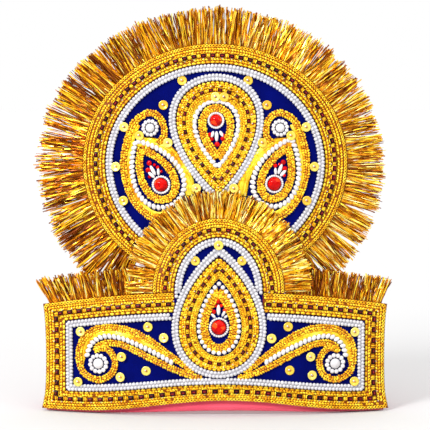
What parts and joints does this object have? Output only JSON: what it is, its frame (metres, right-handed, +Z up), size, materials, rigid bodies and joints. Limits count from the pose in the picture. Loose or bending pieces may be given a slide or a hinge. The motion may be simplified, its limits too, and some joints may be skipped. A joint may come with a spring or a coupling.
{
  "type": "costume crown",
  "caption": "Cloth-covered stage crown with a bowed band, raised arch and oval disc, edged with gold lace and metallic fringe.",
  "frame": {"origin": "middle of the bounding box's base, on the surface that the crown stands on", "axes": "+Z up, the crown's face looks along -Y, +X to the viewer's right"},
  "size_m": [0.267, 0.0986, 0.311],
  "materials": {
    "pink_cloth": "plain fine weave, matt",
    "navy_velvet": "short-pile velvet, matt",
    "gold_lace": "woven metallic-thread lace with red stones sewn on",
    "gold_fringe": "loose metallic strands, shiny",
    "gold_cord": "chain-stitched metallic cord",
    "gold_foil": "shiny gold tinsel foil",
    "gold_sequin": "mirror-bright gold sequins with glass seed beads",
    "pearl": "pearl lustre",
    "red_stone": "clear glossy red, in a white beaded rim"
  },
  "bodies": {
    "root": {"front_board": "pink_cloth", "disc_board": "pink_cloth", "head_band": "pink_cloth", "front_velvet": "navy_velvet", "disc_velvet": "navy_velvet", "band_lace": "gold_lace", "arch_lace": "gold_lace", "disc_lace": "gold_lace", "front_drop_lace": "gold_lace", "disc_drop_lace": "gold_lace", "disc_fringe": "gold_fringe", "arch_fringe": "gold_fringe", "band_fringe_left": "gold_fringe", "band_fringe_right": "gold_fringe", "band_pearls": "pearl", "arch_pearls": "pearl", "disc_pearls": "pearl", "front_drop_pearls": "pearl", "disc_drop_pearls": "pearl", "front_drop_inner_pearls": "pearl", "disc_drop_inner_pearls": "pearl", "front_drop_cord": "gold_cord", "disc_drop_cord": "gold_cord", "front_drop_stone": "red_stone", "disc_drop_stone": "red_stone", "paisley_stone_left": "red_stone", "paisley_stone_right": "red_stone", "paisley_cord_left": "gold_cord", "paisley_inner_cord_left": "gold_cord", "scroll_cord_left": "gold_cord", "paisley_pearls_left": "pearl", "scroll_pearls_left": "pearl", "paisley_rosette_left": "pearl", "scroll_rosette_left": "pearl", "paisley_foil_left": "gold_foil", "disc_sequins_left": "gold_sequin", "band_sequins_left": "gold_sequin", "paisley_cord_right": "gold_cord", "paisley_inner_cord_right": "gold_cord", "scroll_cord_right": "gold_cord", "paisley_pearls_right": "pearl", "scroll_pearls_right": "pearl", "paisley_rosette_right": "pearl", "scroll_rosette_right": "pearl", "paisley_foil_right": "gold_foil", "disc_sequins_right": "gold_sequin", "band_sequins_right": "gold_sequin", "disc_sequins_top": "gold_sequin", "arch_sequins": "gold_sequin"}
  },
  "joints": []
}
